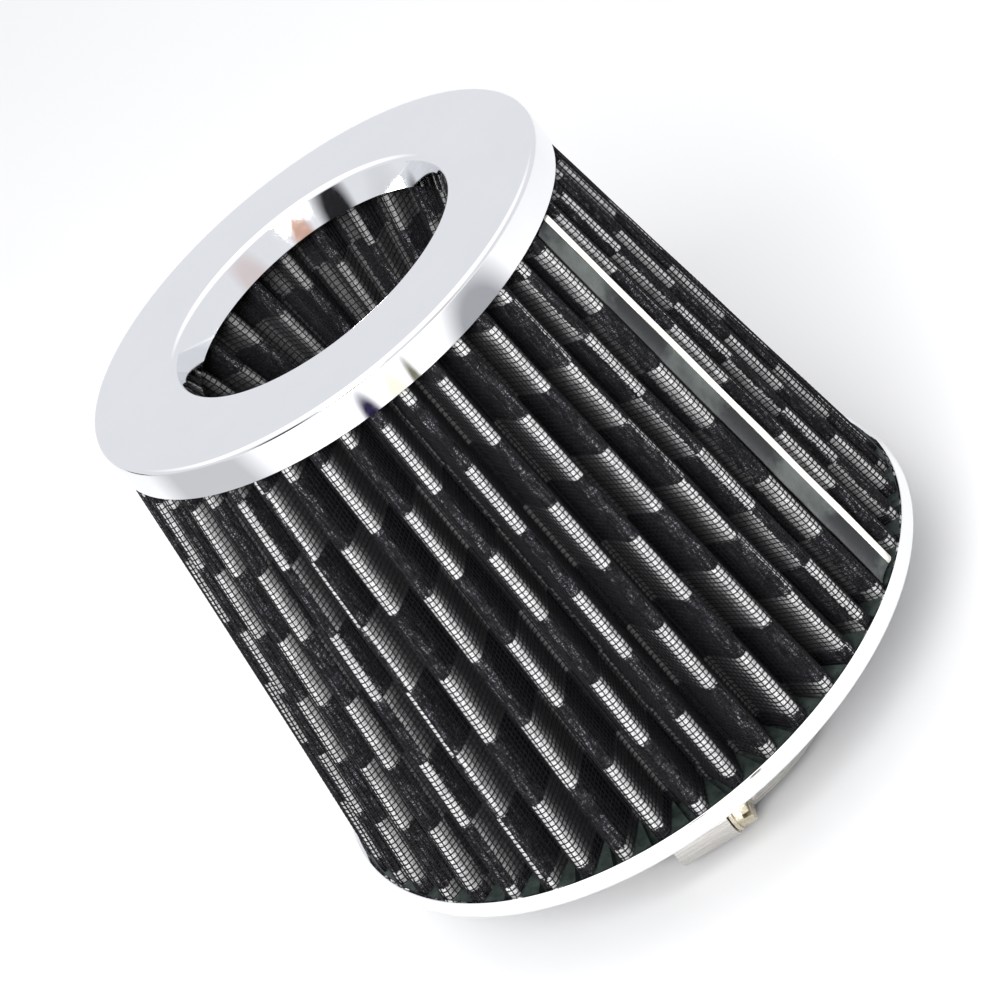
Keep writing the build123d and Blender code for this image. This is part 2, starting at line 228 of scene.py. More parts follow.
def rounded(corners, radii, steps=8):
    """An open line of corners with an arc of a given radius at each inner corner."""
    corners = [np.array(c, float) for c in corners]
    line = [corners[0]]
    for before, here, after, radius in zip(corners, corners[1:], corners[2:], radii):
        a = (before - here) / np.linalg.norm(before - here)
        b = (after - here) / np.linalg.norm(after - here)
        half = math.acos(np.clip(a @ b, -1, 1)) / 2
        reach = radius / math.tan(half)
        middle = here + (a + b) / np.linalg.norm(a + b) * radius / math.sin(half)
        start = here + a * reach - middle
        end = here + b * reach - middle
        swing = math.pi - 2 * half
        for k in range(steps + 1):
            t = k / steps
            line.append(
                middle
                + (start * math.sin((1 - t) * swing) + end * math.sin(t * swing)) / math.sin(swing)
            )
    line.append(corners[-1])
    return np.array(line)


def sheet_outline(middle, thickness=SHEET, edge=0.12 * MM):
    """The closed outline of a sheet about its middle line, with the corners of its two ends eased."""
    step = np.gradient(middle, axis=0)
    step /= np.linalg.norm(step, axis=1, keepdims=True)
    side = np.stack([-step[:, 1], step[:, 0]], 1) * thickness / 2
    left, right = middle + side, middle - side
    along_start, along_end = step[0] * edge, step[-1] * edge
    inwards = side * (edge / (thickness / 2))
    first = [left[0] - inwards[0], left[0] + along_start]
    last = [left[-1] - along_end, left[-1] - inwards[-1]]
    back = [right[-1] + inwards[-1], right[-1] - along_end]
    home = [right[0] + along_start, right[0] + inwards[0]]
    return np.vstack([first, left[1:-1], last, back, right[-2:0:-1], home])


# ---------------------------------------------------------------- folds


def inset(points, distance):
    """A closed counter-clockwise outline moved inwards, square to its sides."""
    ahead = np.roll(points, -1, axis=0) - points
    behind = points - np.roll(points, 1, axis=0)
    normal = sum(
        np.stack([-s[:, 1], s[:, 0]], 1) / np.linalg.norm(s, axis=1, keepdims=True)
        for s in (ahead, behind)
    )
    return points + normal * 2 * distance / (normal**2).sum(1, keepdims=True)


def with_shoulders(points):
    """A folded outline with two more points on each side of a fold, which keep its rounding short."""
    steps = []
    for side, (here, there) in enumerate(zip(points, np.roll(points, -1, axis=0))):
        steps.append(here)
        if side % 2:
            reach = (there - here) * SHOULDER
            steps += [here + reach, there - reach]
    return np.array(steps)


def cut_corners(points):
    """A closed outline with its corners cut again and again, which rounds it."""
    for _ in range(ROUNDS):
        following = np.roll(points, -1, axis=0)
        pair = [0.75 * points + 0.25 * following, 0.25 * points + 0.75 * following]
        points = np.stack(pair, 1).reshape(-1, 2)
    return points


class Folds:
    """The folded sheet of one cone: where its points lie, at any height and depth below its visible side."""

    def __init__(self, spec, random):
        self.spec = spec
        self.reference = spec["radii"][1]
        count = spec["pleats"]
        first = spec["last"] - spec["pitch"] * (count - 1)
        regular = [first + spec["pitch"] * k for k in range(count)]
        self.ridges = np.array(regular + spec["extra"])
        self.radii = np.array([1.0] * count + [1.0 - spec["drop"]] * len(spec["extra"]))
        self.valleys = (self.ridges + np.append(self.ridges[1:], self.ridges[0] + 360)) / 2
        corners = []
        for ridge, share, valley in zip(self.ridges, self.radii, self.valleys):
            corners += [(share, ridge - spec["ridge_half"]), (share, ridge + spec["ridge_half"])]
            corners += [(spec["valley"], valley - spec["valley_half"])]
            corners += [(spec["valley"], valley + spec["valley_half"])]
        share, turn = np.array(corners).T
        turn = np.radians(turn)
        self.corners = np.stack([share * np.cos(turn), share * np.sin(turn)], 1) * self.reference
        rounded_skin = cut_corners(with_shoulders(self.corners))
        ahead = np.roll(rounded_skin, -1, axis=0) - rounded_skin
        behind = rounded_skin - np.roll(rounded_skin, 1, axis=0)
        bend = np.abs(ahead[:, 0] * behind[:, 1] - ahead[:, 1] * behind[:, 0])
        bend /= np.linalg.norm(ahead, axis=1) * np.linalg.norm(behind, axis=1)
        self.kept = bend > STRAIGHT_BEND
        self.skin = rounded_skin[self.kept]
        self.count = len(self.skin)
        ring = np.vstack([self.skin, self.skin[:1]])
        self.run = np.append(0, np.cumsum(np.linalg.norm(np.diff(ring, axis=0), axis=1)))
        self.turn = np.unwrap(np.arctan2(self.skin[:, 1], self.skin[:, 0]))
        self.turn = np.degrees(self.turn - self.turn[0]) + self.ridges[0] - spec["ridge_half"]
        at_ridges = np.interp(self.ridges[:3], self.turn, self.run[:-1])
        self.fold_run = at_ridges[2] - at_ridges[1]
        self.ridge_run = at_ridges[0]
        radius = np.linalg.norm(self.skin, axis=1) / self.reference
        self.sunk = (radius - 1) / (spec["valley"] - 1)
        self.sway = random.normal(0, SWAY, (3, len(self.ridges)))
        self.swell = random.normal(0, SWELL, (2, len(self.ridges)))

    def outline(self, depth):
        """The folds' section at a depth below the visible side, point for point with the skin."""
        moved = inset(self.corners, depth * self.spec["side"])
        return cut_corners(with_shoulders(moved))[self.kept]

    def at(self, depth, columns, heights):
        """Points at a depth, as a grid of heights by columns. A column may be a fraction."""
        shape = self.outline(depth)
        low = np.floor(columns).astype(int)
        share = (columns - low)[:, None]
        flat = shape[low % self.count] * (1 - share) + shape[(low + 1) % self.count] * share
        scale = np.interp(-heights, -self.spec["heights"], self.spec["radii"]) / self.reference
        top, foot = self.spec["heights"][1], self.spec["heights"][-2]
        down = np.clip((top - heights) / (top - foot), 0, 1)
        angle = np.degrees(np.arctan2(flat[:, 1], flat[:, 0]))
        place = np.interp(columns, np.arange(self.count), self.turn, right=self.turn[-1])
        sway = [np.interp(place, self.ridges, s, period=360) for s in self.sway]
        swell = [np.interp(place, self.ridges, s, period=360) for s in self.swell]
        free = np.sin(down * math.pi)
        turn = np.outer(down, lean(angle)) * (self.spec["side"] > 0)
        turn += free[:, None] * (sway[0] + np.outer(np.cos(down * math.pi), sway[1]))
        turn += np.outer(np.sin(down * 3 * math.pi), sway[2]) * FINE_WAVE
        ripple = np.outer(np.sin(down * 5 * math.pi), swell[1]) * FINE_WAVE
        grow = 1 - np.abs(np.outer(free, swell[0]) + ripple)
        turn = np.radians(turn)
        x = scale[:, None] * flat[:, 0] * grow
        y = scale[:, None] * flat[:, 1] * grow
        return np.stack(
            [
                x * np.cos(turn) - y * np.sin(turn),
                x * np.sin(turn) + y * np.cos(turn),
                np.repeat(heights[:, None], len(columns), axis=1),
            ],
            axis=-1,
        )


def lean(angle):
    """Degrees that a fold of the outer cone leans on its way down, from its angle."""
    offset = (angle + LEAN["centre"] + 180) % 360 - 180
    return LEAN["rest"] + LEAN["front"] * np.exp(-((offset / LEAN["reach"]) ** LEAN["power"]))


def fold_share(folds, columns):
    """Folds of gauze from the first ridge to each column."""
    return (np.interp(columns, np.arange(folds.count + 1), folds.run) - folds.ridge_run) / folds.fold_run


def print_columns(folds, columns):
    """The printed columns across the outer gauze, counted from one of its joints."""
    share = fold_share(folds, columns)
    back = np.clip((BACK_FOLDS[1] - share) / (BACK_FOLDS[1] - BACK_FOLDS[0]), 0, 1)
    return (share - PRINT_RIDGE - PRINT_START) / PRINT_COLUMN + 101 + back


def inner_print_columns(folds, columns):
    """The printed columns across the inner gauze, one to a fold, with its joints one column out."""
    share = fold_share(folds, columns)
    between = (share > INNER_SHIFT[0]) & (share < INNER_SHIFT[1])
    return share + 100.5 + between


def print_bands(spec, heights):
    """The printed bands down the gauze."""
    return (spec["print_top"] - heights) / spec["print_step"] + 101


def gauze(name, folds, print_across, levels, material, body, replaces):
    """The folded gauze as a closed sheet with its print's coordinates."""
    top, foot = folds.spec["heights"][0], folds.spec["heights"][-1]
    inner_levels = folds.spec["heights"][1:-1]
    heights = np.unique(np.concatenate([np.linspace(foot, top, levels), inner_levels]))[::-1]
    columns = np.arange(folds.count, dtype=float)
    near = folds.at(GAUZE_NEAR, columns, heights)
    far = folds.at(GAUZE_FAR, columns, heights)[::-1]
    points = np.concatenate([near, far])
    row_heights = np.concatenate([heights, heights[::-1], heights[:1]])
    faces, rows, cols = grid_faces(len(points), folds.count, True, True)
    if folds.spec["side"] < 0:
        faces, rows, cols = faces[:, ::-1], rows[:, ::-1], cols[:, ::-1]
    across = print_across(folds, np.arange(folds.count + 1, dtype=float))
    uvs = np.stack([across[cols], print_bands(folds.spec, row_heights)[rows]], -1)
    mesh = mesh_from(name, points.reshape(-1, 3), faces, uvs, 60)
    sunk = mesh.attributes.new("Sunk", "FLOAT", "POINT")
    sunk.data.foreach_set("value", np.tile(folds.sunk, len(points)).astype(np.float32))
    return add_object(name, mesh, material, body, replaces)


def hoops(folds, depth, heights, thickness):
    """Three-sided wires that run round the folds at given heights."""
    columns = np.arange(folds.count, dtype=float)
    tracks = [
        folds.at(depth - thickness, columns, heights),
        folds.at(depth + thickness / 2, columns, heights + WIRE_SIDE * thickness),
        folds.at(depth + thickness / 2, columns, heights - WIRE_SIDE * thickness),
    ]
    points = np.stack(tracks, 1)
    cell, _, _ = grid_faces(3, folds.count, True, True)
    starts = np.arange(len(heights)) * 3 * folds.count
    faces = (cell[None] + starts[:, None, None]).reshape(-1, 4)
    return points.reshape(-1, 3), faces


def bars(folds, depth, pitch, heights, thickness):
    """Three-sided wires that run down the cone, evenly spaced round the folds."""
    middle_scale = folds.spec["radii"][1:-1].mean() / folds.reference
    count = int(folds.run[-1] * middle_scale / pitch)
    runs = (np.arange(count) + 0.5) * folds.run[-1] / count
    index = np.arange(folds.count + 1)
    side = WIRE_SIDE * thickness / middle_scale
    low = np.interp(runs - side, folds.run, index)
    high = np.interp(runs + side, folds.run, index)
    centre = np.interp(runs, folds.run, index)
    tracks = [
        folds.at(depth - thickness, centre, heights),
        folds.at(depth + thickness / 2, low, heights),
        folds.at(depth + thickness / 2, high, heights),
    ]
    points = np.stack(tracks, 1).transpose(2, 1, 0, 3)
    cell, _, _ = grid_faces(3, len(heights), True, False)
    starts = np.arange(count) * 3 * len(heights)
    faces = (cell[None] + starts[:, None, None]).reshape(-1, 4)
    return points.reshape(-1, 3), faces


def screen(name, folds, depth, pitch, groups, material, body, replaces, slot):
    """A woven wire screen on the folds: its hoops in groups, and its bars."""
    top, foot = folds.spec["heights"][0] - SCREEN_END, folds.spec["heights"][-1] + SCREEN_END
    rows = np.linspace(top, foot, int((top - foot) / pitch))
    for k, heights in enumerate(np.array_split(rows, groups)):
        label = f"{name}_hoops_{k + 1}"
        mesh = mesh_from(label, *hoops(folds, depth, heights, WIRE_R), sharp_degrees=180)
        add_object(label, mesh, material, body, replaces)
    levels = np.concatenate([np.linspace(foot, top, BAR_LEVELS), folds.spec["heights"][1:-1]])
    levels = np.unique(levels)[::-1]
    label = f"{name}_bars"
    mesh = mesh_from(label, *bars(folds, depth, pitch, levels, WIRE_R), sharp_degrees=180)
    add_object(label, mesh, material, body, replaces)


def strip(name, section, levels, radius_at, material, body, replaces, spec):
    """A closed strip down a cone. Its section gives angles and shares of radius at each share of the way."""
    rows = []
    for height, down in levels:
        turn, share = section(down)
        turn = np.radians(turn)
        radius = radius_at(height) * share
        level = np.full(len(turn), height)
        rows.append(np.stack([radius * np.cos(turn), radius * np.sin(turn), level], -1))
    points = np.array(rows)
    around = points.shape[1]
    faces, corner_rows, corner_cols = grid_faces(len(rows), around, False, True)
    heights = np.array([height for height, _ in levels])
    uvs = np.stack([(corner_cols / around), print_bands(spec, heights)[corner_rows]], -1)
    caps = np.array([np.arange(around)[::-1], np.arange(around) + (len(rows) - 1) * around])
    mesh = mesh_from(name, points.reshape(-1, 3), faces[:, ::-1], uvs[:, ::-1], 60)
    bm = bmesh.new()
    bm.from_mesh(mesh)
    bm.verts.ensure_lookup_table()
    for cap in caps:
        bm.faces.new([bm.verts[k] for k in cap])
    bmesh.ops.recalc_face_normals(bm, faces=bm.faces)
    bm.to_mesh(mesh)
    bm.free()
    return add_object(name, mesh, material, body, replaces)


def softened(node, width, material, body):
    """A CAD piece with the light-catching bevels of its real edges, which stands for it."""
    bm = bmesh.new()
    bm.from_mesh(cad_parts[node].data)
    bmesh.ops.remove_doubles(bm, verts=bm.verts, dist=2e-6)
    bmesh.ops.dissolve_limit(bm, angle_limit=math.radians(0.5), verts=bm.verts, edges=bm.edges)
    edges = [e for e in bm.edges if e.is_manifold and e.calc_face_angle() > math.radians(28)]
    bmesh.ops.bevel(
        bm, geom=edges, offset=width, segments=2, profile=0.5, affect="EDGES", clamp_overlap=True
    )
    name = f"{node}_finished"
    mesh = bpy.data.meshes.new(name)
    bm.to_mesh(mesh)
    bm.free()
    mesh.polygons.foreach_set("use_smooth", np.ones(len(mesh.polygons), bool))
    mesh.set_sharp_from_angle(angle=math.radians(32))
    return add_object(name, mesh, material, body, [node])


# ---------------------------------------------------------------- materials

# Each pair of tones is a surface's darkest and lightest.
CHROME_TONES = (0.83, 0.84, 0.855), (0.88, 0.885, 0.895)
SILVER_TONES = 0.28, 0.66
# the silver print's colour deep in the folds, under painted shade
SHADED_SILVER_TONES = (0.018, 0.018, 0.019), (0.05, 0.05, 0.052)
DARK_TONES = (0.002, 0.002, 0.003), (0.010, 0.010, 0.012)
# dark print on worn ridges: lighter for the wear and for painted light on the ridges
WORN_AND_LIT_DARK = (0.045, 0.043, 0.05)
FLECK = (0.46, 0.45, 0.48)
BLACK_WIRE_TONES = (0.004, 0.004, 0.005), (0.018, 0.018, 0.02)
ZINC_WIRE_TONES = (0.30, 0.31, 0.32), (0.55, 0.56, 0.57)
RESIN_TONES = (0.012, 0.017, 0.016), (0.034, 0.046, 0.042)
FILM_DARK = (0.008, 0.009, 0.010)
FILM_TONES = (0.035, 0.043, 0.04), (0.10, 0.113, 0.108)
BEAD_TONES = (0.80, 0.77, 0.68), (0.95, 0.94, 0.88)
RUBBER_TONES = (0.014, 0.014, 0.015), (0.05, 0.05, 0.051)
STEEL_TONES = (0.50, 0.485, 0.46), (0.72, 0.70, 0.67)
ZINC_PLATE_TONES = (0.56, 0.49, 0.36), (0.78, 0.73, 0.60)
PAPER_TONES = (0.60, 0.60, 0.605), (0.62, 0.62, 0.62)
CONE_SHADED_SILVER_SHARE = 0.4  # the inner cone's silver as a share of the outer's, darkened as painted shade for the cone's inside
NOISE_LOW, NOISE_HIGH = 0.3, 0.7  # most of a noise's values lie between these
GRAIN = {"threads": 3600, "clouds": 260, "wear": 1100, "flecks": 3300, "print_edge": 1600, "print_end": 1400}
WEAR_STRETCH = (1, 1, 0.25)  # wear runs along the folds
FOLD_SHADE_DEPTH = 0.52  # painted fold shade has darkened the silver fully at this share of a fold's depth
# the curve of the painted fold shade below the ridges
FOLD_SHADE_POWER = 2.0


class Paint:
    """A material being built: its node tree, its shader, and short calls for the nodes that it needs."""

    def __init__(self, name, metallic=0.0, **sockets):
        self.material = bpy.data.materials.new(name)
        self.material.use_nodes = True
        self.tree = self.material.node_tree
        self.shader = self.tree.nodes["Principled BSDF"]
        self.shader.inputs["Metallic"].default_value = metallic
        for socket, value in sockets.items():
            self.shader.inputs[socket.replace("_", " ")].default_value = value

    def feed(self, socket, value):
        """Set an input to a value, or link an output to it."""
        if isinstance(value, bpy.types.NodeSocket):
            self.tree.links.new(value, socket)
        else:
            socket.default_value = value

    def place(self, scale=(1, 1, 1)):
        """The piece's own coordinates in metres, stretched."""
        where = self.tree.nodes.new("ShaderNodeTexCoord")
        stretch = self.tree.nodes.new("ShaderNodeMapping")
        stretch.inputs["Scale"].default_value = scale
        self.tree.links.new(where.outputs["Object"], stretch.inputs["Vector"])
        return stretch.outputs["Vector"]

    def noise(self, scale, detail=2.0, stretch=(1, 1, 1)):
        node = self.tree.nodes.new("ShaderNodeTexNoise")
        node.inputs["Scale"].default_value = scale
        node.inputs["Detail"].default_value = detail
        self.tree.links.new(self.place(stretch), node.inputs["Vector"])
        return node.outputs["Fac"]

    def spots(self, scale):
        node = self.tree.nodes.new("ShaderNodeTexVoronoi")
        node.inputs["Scale"].default_value = scale
        self.tree.links.new(self.place(), node.inputs["Vector"])
        return node.outputs["Distance"]

    def math(self, operation, *values):
        node = self.tree.nodes.new("ShaderNodeMath")
        node.operation = operation
        for socket, value in zip(node.inputs, values):
            self.feed(socket, value)
        return node.outputs[0]

    def range(self, value, from_low, from_high, to_low, to_high):
        node = self.tree.nodes.new("ShaderNodeMapRange")
        ends = {"From Min": from_low, "From Max": from_high, "To Min": to_low, "To Max": to_high}
        for key, number in ends.items():
            node.inputs[key].default_value = number
        self.tree.links.new(value, node.inputs["Value"])
        return node.outputs["Result"]

    def spread(self, noise, low=0, high=1):
        """A noise's usual values stretched from one number to another."""
        return self.range(noise, NOISE_LOW, NOISE_HIGH, low, high)

    def mix(self, share, low, high):
        """A colour between two, each a colour or an output."""
        node = self.tree.nodes.new("ShaderNodeMix")
        node.data_type = "RGBA"
        self.feed(node.inputs[0], share)
        for socket, value in ((node.inputs[6], low), (node.inputs[7], high)):
            self.feed(socket, value if isinstance(value, bpy.types.NodeSocket) else (*value, 1))
        return node.outputs[2]

    def bump(self, height, strength, distance):
        node = self.tree.nodes.new("ShaderNodeBump")
        node.inputs["Strength"].default_value = strength
        node.inputs["Distance"].default_value = distance
        self.tree.links.new(height, node.inputs["Height"])
        self.tree.links.new(node.outputs["Normal"], self.shader.inputs["Normal"])

    def color(self, value):
        self.feed(self.shader.inputs["Base Color"], value)

    def roughness(self, value):
        self.feed(self.shader.inputs["Roughness"], value)

    def attribute(self, name):
        node = self.tree.nodes.new("ShaderNodeAttribute")
        node.attribute_name = name
        return node.outputs["Fac"]

    def print_place(self):
        """The two coordinates of the gauze's print."""
        where = self.tree.nodes.new("ShaderNodeUVMap")
        where.uv_map = "Print"
        apart = self.tree.nodes.new("ShaderNodeSeparateXYZ")
        self.tree.links.new(where.outputs["UV"], apart.inputs[0])
        return apart.outputs["X"], apart.outputs["Y"]


def chrome():
    """Bright plate over a buffed pressing: faint waviness and faint polishing haze."""
    paint = Paint("chrome_plate", metallic=1.0)
    cloud = paint.noise(60, 3)
    paint.color(paint.mix(cloud, *CHROME_TONES))
    paint.roughness(paint.spread(paint.noise(900, 4), 0.03, 0.075))
    paint.bump(paint.noise(38, 1.5), 0.25, 0.25 * MM)
    return paint.material


def printed_gauze(name, strength):
    """Black cotton gauze with staggered patches of silver print, brightest on the flat tops of the ridges.

    Painted shade darkens the print down into the folds and a painted highlight lifts the valley floors; the
    dark patches lighten on worn ridges, partly with painted light, and carry pale specks there.
    """
    paint = Paint(name, metallic=0.2, Specular_IOR_Level=0.12)
    across, down = paint.print_place()
    ragged = paint.range(paint.noise(GRAIN["print_edge"], 2), 0.2, 0.8, -0.022, 0.022)
    ragged_down = paint.range(paint.noise(GRAIN["print_end"], 2), 0.2, 0.8, -0.03, 0.03)
    column = paint.math("FLOOR", paint.math("ADD", across, ragged))
    band = paint.math("FLOOR", paint.math("ADD", down, ragged_down))
    silver = paint.math("FLOORED_MODULO", paint.math("ADD", column, band), 2.0)
    threads = paint.noise(GRAIN["threads"], 3)
    cloud = paint.noise(GRAIN["clouds"], 3)
    # Painted shade: the silver darkens with the fold's depth below the ridges, down to the shaded tones.
    sunk = paint.attribute("Sunk")
    clouded = paint.math("ADD", sunk, paint.spread(cloud, -0.06, 0.06))
    ridge = paint.range(clouded, 0.0, FOLD_SHADE_DEPTH, 1, 0)
    # Painted highlight: the print is lifted again on the valley floors.
    valley_floor_highlight = paint.range(sunk, 0.9, 0.99, 0, 0.08)
    painted_fold_light = paint.math("MAXIMUM", paint.math("POWER", ridge, FOLD_SHADE_POWER), valley_floor_highlight)
    bright = paint.mix(
        paint.range(threads, 0.38, 0.6, 0, 1),
        *((tone * strength,) * 3 for tone in SILVER_TONES),
    )
    shaded_silver = paint.mix(paint.spread(threads), *SHADED_SILVER_TONES)
    # Silver on the ridges, shaded silver deeper in the folds: painted shade.
    bright = paint.mix(paint.range(painted_fold_light, 0, 1, 0.0, 1), shaded_silver, bright)
    worn = paint.range(paint.noise(GRAIN["wear"], 4, WEAR_STRETCH), 0.45, 0.75, 0, 1)
    fleck_size = paint.range(cloud, 0.3, 0.75, 0.2, 0.42)
    flecks = paint.math("LESS_THAN", paint.spots(GRAIN["flecks"]), fleck_size)
    # The pale specks show mostly on worn ridges and fade into the folds with the painted shade.
    shown = paint.math("MULTIPLY", flecks, paint.math("MULTIPLY_ADD", ridge, worn, 0.04))
    dark = paint.mix(paint.range(threads, 0.35, 0.75, 0, 1), *DARK_TONES)
    # The dark print lightens on worn ridges: partly wear, partly painted light that fades into the folds.
    dark = paint.mix(paint.math("MULTIPLY", ridge, worn), dark, WORN_AND_LIT_DARK)
    dark = paint.mix(shown, dark, FLECK)
    paint.color(paint.mix(silver, dark, bright))
    paint.roughness(paint.range(silver, 0, 1, 0.7, 0.45))
    paint.bump(threads, 0.5, 0.12 * MM)
    return paint.material


def wire(name, tones, metallic):
    """Drawn wire with an uneven coat."""
    paint = Paint(name, metallic=metallic, Specular_IOR_Level=0.12)
    coat = paint.noise(1500, 3)
    paint.color(paint.mix(paint.spread(coat), *tones))
    paint.roughness(paint.spread(paint.noise(4000, 2), 0.32, 0.6))
    return paint.material


def resin():
    """Cast polyurethane, dark green-grey, with a slightly uneven skin."""
    paint = Paint("cast_resin")
    cloud = paint.noise(320, 4)
    paint.color(paint.mix(paint.spread(cloud), *RESIN_TONES))
    paint.roughness(paint.spread(paint.noise(900, 3), 0.22, 0.48))
    paint.bump(paint.noise(700, 3), 0.35, 0.25 * MM)
    return paint.material


def film():
    """Clear glossy film pressed on the gauze's joint, which shows the print's bands through itself."""
    paint = Paint("joint_film", Coat_Weight=0.12, Coat_Roughness=0.12, Specular_IOR_Level=0.3)
    _, down = paint.print_place()
    soft = paint.range(paint.noise(300, 3), 0.2, 0.8, -0.16, 0.16)
    wave = paint.math("SINE", paint.math("MULTIPLY", paint.math("ADD", down, soft), math.pi))
    light = paint.range(wave, -0.35, 0.35, 0.9, 0)
    cloud = paint.noise(170, 4)
    pale = paint.mix(paint.spread(cloud), *FILM_TONES)
    paint.color(paint.mix(light, FILM_DARK, pale))
    paint.roughness(paint.spread(paint.noise(500, 2), 0.15, 0.38))
    paint.bump(paint.noise(210, 2), 0.3, 0.3 * MM)
    return paint.material


def bead():
    """Cream hot-melt adhesive, smooth and a little cloudy."""
    paint = Paint("joint_bead", Subsurface_Weight=0.12, Subsurface_Scale=0.001)
    cloud = paint.noise(420, 3)
    paint.color(paint.mix(paint.spread(cloud), *BEAD_TONES))
    paint.roughness(paint.spread(paint.noise(800, 2), 0.25, 0.45))
    paint.bump(paint.noise(420, 2), 0.3, 0.25 * MM)
    return paint.material


def rubber():
    """Moulded rubber with a fine grain and a dusty bloom."""
    paint = Paint("neck_rubber")
    bloom = paint.noise(140, 4)
    paint.color(paint.mix(paint.range(bloom, 0.35, 0.75, 0, 1), *RUBBER_TONES))
    paint.roughness(paint.spread(bloom, 0.45, 0.68))
    paint.bump(paint.noise(3800, 3), 0.3, 0.08 * MM)
    return paint.material


def band_steel():
    """Rolled stainless strip with its rolling lines round the band."""
    paint = Paint("band_steel", metallic=1.0)
    lines = paint.noise(90, 4, stretch=(1, 1, 60))
    paint.color(paint.mix(paint.spread(lines), *STEEL_TONES))
    paint.roughness(paint.spread(lines, 0.2, 0.38))
    paint.bump(lines, 0.15, 0.05 * MM)
    return paint.material


def screw_zinc():
    """Pale yellow zinc plate, mottled."""
    paint = Paint("screw_zinc", metallic=1.0)
    mottle = paint.noise(520, 4)
    paint.color(paint.mix(paint.spread(mottle), *ZINC_PLATE_TONES))
    paint.roughness(paint.spread(paint.noise(1300, 3), 0.2, 0.42))
    return paint.material


CHROME = chrome()
GAUZE = printed_gauze("printed_gauze", 1.0)
# The inner cone's gauze is a darker copy of the same material: painted shade for the inside of the cone.
SHADED_CONE_GAUZE = printed_gauze("shaded_cone_gauze", CONE_SHADED_SILVER_SHARE)
BLACK_WIRE = wire("black_wire", BLACK_WIRE_TONES, 0.0)
ZINC_WIRE = wire("zinc_wire", ZINC_WIRE_TONES, 1.0)
RESIN = resin()
FILM = film()
BEAD = bead()
RUBBER = rubber()
BAND = band_steel()
SCREW = screw_zinc()

# ---------------------------------------------------------------- pressed and moulded pieces

half = SHEET / 2
ring_line = rounded(
    [
        (LIP_END_R + half, LIP_END_Z),
        (HOLE_R + half, TOP_Z - half),
        (RING_OUTER_R - half, TOP_Z - half),
        (RING_SKIRT_R - half, RING_LOW_Z + SKIRT_CLEAR),
    ],
    [LIP_CORNER_R, RING_CORNER_R],
)
ring_mesh = lathe("chrome_ring", sheet_outline(ring_line), FINE_SEGMENTS)
add_object("chrome_ring", ring_mesh, CHROME, "filter", ["top_ring"])

pan_line = rounded(
    [
        (NECK_R + PAN_NECK_GAP, PAN_BOTTOM_Z + half),
        (PAN_R - half, PAN_BOTTOM_Z + half),
        (PAN_RIM_R - half, PAN_TOP_Z - PAN_RIM_CLEAR),
    ],
    [PAN_CORNER_R],
)
pan_mesh = lathe("chrome_pan", sheet_outline(pan_line), FINE_SEGMENTS)
add_object("chrome_pan", pan_mesh, CHROME, "filter", ["base_pan"])

cap_line = rounded(
    [
        (CAP_CENTRE_R, CAP_Z + half),
        (CAP_R - half, CAP_Z + half),
        (CAP_R - half, CAP_RIM_Z),
    ],
    [CAP_CORNER_R],
)
cap_mesh = lathe("cone_cap", sheet_outline(cap_line), 256)
add_object("cone_cap", cap_mesh, CHROME, "filter", ["inner_cone_cap"])

neck_outline = np.vstack(
    [
        rounded(
            [(BORE_R, NECK_TOP_Z - NECK_REACH), (BORE_R, 0), (NECK_R, 0), (NECK_R, 2 * NECK_REACH)],
            [NECK_EASE, 1.2 * NECK_EASE],
            5,
        ),
        rounded(
            [
                (NECK_R, NECK_TOP_Z - NECK_FLANGE_T - NECK_REACH),
                (NECK_R, NECK_TOP_Z - NECK_FLANGE_T),
                (NECK_FLANGE_R, NECK_TOP_Z - NECK_FLANGE_T),
                (NECK_FLANGE_R, NECK_TOP_Z),
                (BORE_R, NECK_TOP_Z),
                (BORE_R, NECK_TOP_Z - 3 * MM),
            ],
            [NECK_INNER_CORNER_R, NECK_EASE, NECK_EASE, NECK_EASE],
            5,
        )[:-1],
    ]
)
add_object("rubber_neck", lathe("rubber_neck", neck_outline, 360), RUBBER, "filter", ["neck"])

for node in ("ring_resin", "pan_resin", "inner_cone_cap_resin"):
    resin_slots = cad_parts[node].data.materials
    resin_slots.clear()
    resin_slots.append(RESIN)

# ---------------------------------------------------------------- folded cones

random = np.random.RandomState(SEED)
outer_folds = Folds(OUTER, random)
inner_folds = Folds(INNER, random)

gauze(
    "outer_gauze", outer_folds, print_columns, 28, GAUZE, "filter", ["outer_media"]
)
FRONT = (WIRE_DEPTH, WIRE_PITCH)
BACK = (BACK_WIRE_DEPTH, BACK_WIRE_PITCH)
screen("outer_screen", outer_folds, *FRONT, 4, BLACK_WIRE, "filter", ["outer_mesh"], "black_wire")
screen("outer_backing", outer_folds, *BACK, 2, ZINC_WIRE, "filter", ["outer_backing_mesh"], "zinc_wire")
gauze(
    "shaded_cone_gauze",
    inner_folds,
    inner_print_columns,
    20,
    SHADED_CONE_GAUZE,
    "filter",
    ["inner_cone_media"],
)
screen("cone_screen", inner_folds, *FRONT, 1, BLACK_WIRE, "filter", ["inner_cone_mesh"], "black_wire")
screen("cone_backing", inner_folds, *BACK, 1, ZINC_WIRE, "filter", ["inner_cone_backing_mesh"], "zinc_wire")

# ---------------------------------------------------------------- joint of the gauze


def outer_radius(height):
    return np.interp(-height, -OUTER["heights"], OUTER["radii"])


def inner_radius(height):
    return np.interp(-height, -INNER["heights"], INNER["radii"])


def levels_between(top, foot, count):
    """Heights from the top to the foot, each with its share of the way down."""
    return [(top + (foot - top) * k / (count - 1), k / (count - 1)) for k in range(count)]


